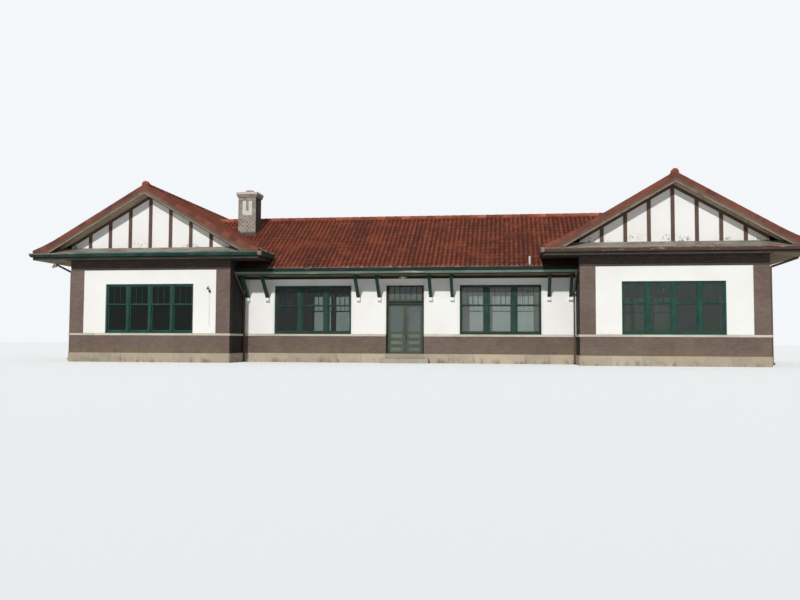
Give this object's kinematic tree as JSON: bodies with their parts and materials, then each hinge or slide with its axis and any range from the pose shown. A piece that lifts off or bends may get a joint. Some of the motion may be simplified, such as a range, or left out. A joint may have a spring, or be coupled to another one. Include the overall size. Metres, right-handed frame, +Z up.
{
  "type": "railway station building",
  "caption": "One-storey railway station: long stucco and brick hall with a tiled roof between two gabled pavilions, and a double front door on hinges.",
  "frame": {"origin": "on the ground at the middle of the plan, under the hall ridge", "axes": "+X along the building towards the east pavilion, +Y from the platform front to the back, +Z up"},
  "size_m": [32, 11.95, 8.0699],
  "materials": {
    "brick": "painted brick, matt taupe brown",
    "base_stone": "weathered tan stone and concrete",
    "floor_concrete": "plain concrete",
    "stucco": "white painted stucco",
    "sill_stone": "cream stone",
    "brown_paint": "brown painted wood",
    "roof_tile": "red-brown barrel tile",
    "ridge_tile": "orange-red ridge tile",
    "rake_paint": "weathered brown paint",
    "weathered_paint": "weathered grey paint",
    "soffit_paint": "dark brown paint",
    "green_metal": "green painted metal",
    "brown_metal": "brown painted metal, peeling",
    "green_paint": "dark green painted wood",
    "glass": "clear window glass",
    "door_paint": "grey-green painted wood",
    "black_metal": "black iron",
    "chimney_brick": "grey-taupe brick",
    "cap_stone": "pale cement",
    "pale_metal": "white painted metal",
    "lamp_metal": "weathered enamel"
  },
  "bodies": {
    "station": {"back_door": "door_paint", "brackets": "green_paint", "chimney": "chimney_brick", "chimney_cap": "cap_stone", "corbels": "stucco", "door_frame": "green_paint", "door_lights": "glass", "door_steps": "base_stone", "downspouts": "brown_metal", "east_back_wall": "brick", "east_eaves": "soffit_paint", "east_end_wall": "brick", "east_front_wall": "brick", "east_gutters": "brown_metal", "east_roof": "roof_tile", "floor": "floor_concrete", "gable_strips": "brown_paint", "hall_back_wall": "brick", "hall_east_wall": "brick", "hall_eaves": "soffit_paint", "hall_friezes": "brown_paint", "hall_glass": "glass", "hall_gutters": "green_metal", "hall_roof": "roof_tile", "hall_west_wall": "brick", "hall_windows": "green_paint", "lamps": "lamp_metal", "over_door_wall": "brick", "pavilion_glass": "glass", "pavilion_windows": "green_paint", "pent_shelves": "weathered_paint", "rake_boards": "rake_paint", "return_walls": "brick", "ridge_caps": "ridge_tile", "sill_course": "sill_stone", "stone_base": "base_stone", "stucco": "stucco", "vent_pipe": "pale_metal", "west_back_wall": "brick", "west_eaves": "soffit_paint", "west_end_wall": "brick", "west_front_wall": "brick", "west_gutters": "green_metal", "west_roof": "roof_tile"},
    "east_door": {"east_leaf": "door_paint", "east_leaf_glass": "glass", "door_pull": "black_metal"},
    "west_door": {"west_leaf": "door_paint", "west_leaf_glass": "glass"}
  },
  "joints": [
    {"name": "east_door_hinge", "type": "hinge", "parent": "station", "child": "east_door", "pos_m": [0.762, -3.3027, 0], "axis": [0, 0, -1], "range_deg": [0, 90]},
    {"name": "west_door_hinge", "type": "hinge", "parent": "station", "child": "west_door", "pos_m": [-0.762, -3.3027, 0], "axis": [0, 0, 1], "range_deg": [0, 90]}
  ]
}
